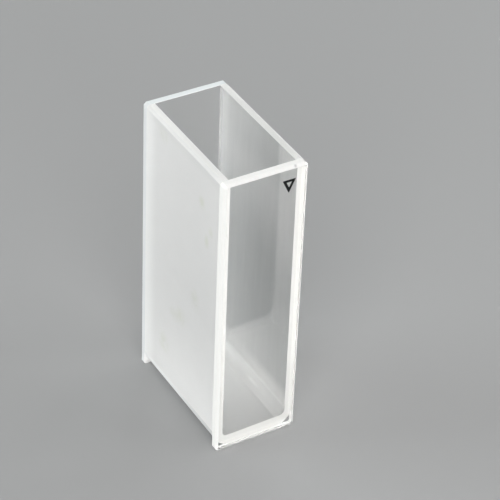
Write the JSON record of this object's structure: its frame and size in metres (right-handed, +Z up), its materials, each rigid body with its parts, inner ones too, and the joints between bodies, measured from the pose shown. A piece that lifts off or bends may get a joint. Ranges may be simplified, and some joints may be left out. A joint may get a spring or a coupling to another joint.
{
  "type": "cuvette",
  "caption": "Open rectangular quartz sample cell with ground side walls, a round-cornered well and base, and a clear window fused over each end, standing on its flat underside.",
  "frame": {"origin": "middle of the flat underside, below the centre of the cell", "axes": "+Z up out of the open mouth, Y along the light path through both windows, X across the two ground side walls"},
  "size_m": [0.0126, 0.0226, 0.045],
  "materials": {
    "ground_quartz": "fused quartz, ground matt outside and on the rim, polished inside the well",
    "clear_quartz": "fused quartz, polished on both faces, with finely ground bevelled edges",
    "printed_black": "matt black fired ink of the small arrow near the top of the front window; no node carries it"
  },
  "bodies": {
    "root": {"body": "ground_quartz", "front_window": "clear_quartz", "rear_window": "clear_quartz"}
  },
  "joints": []
}
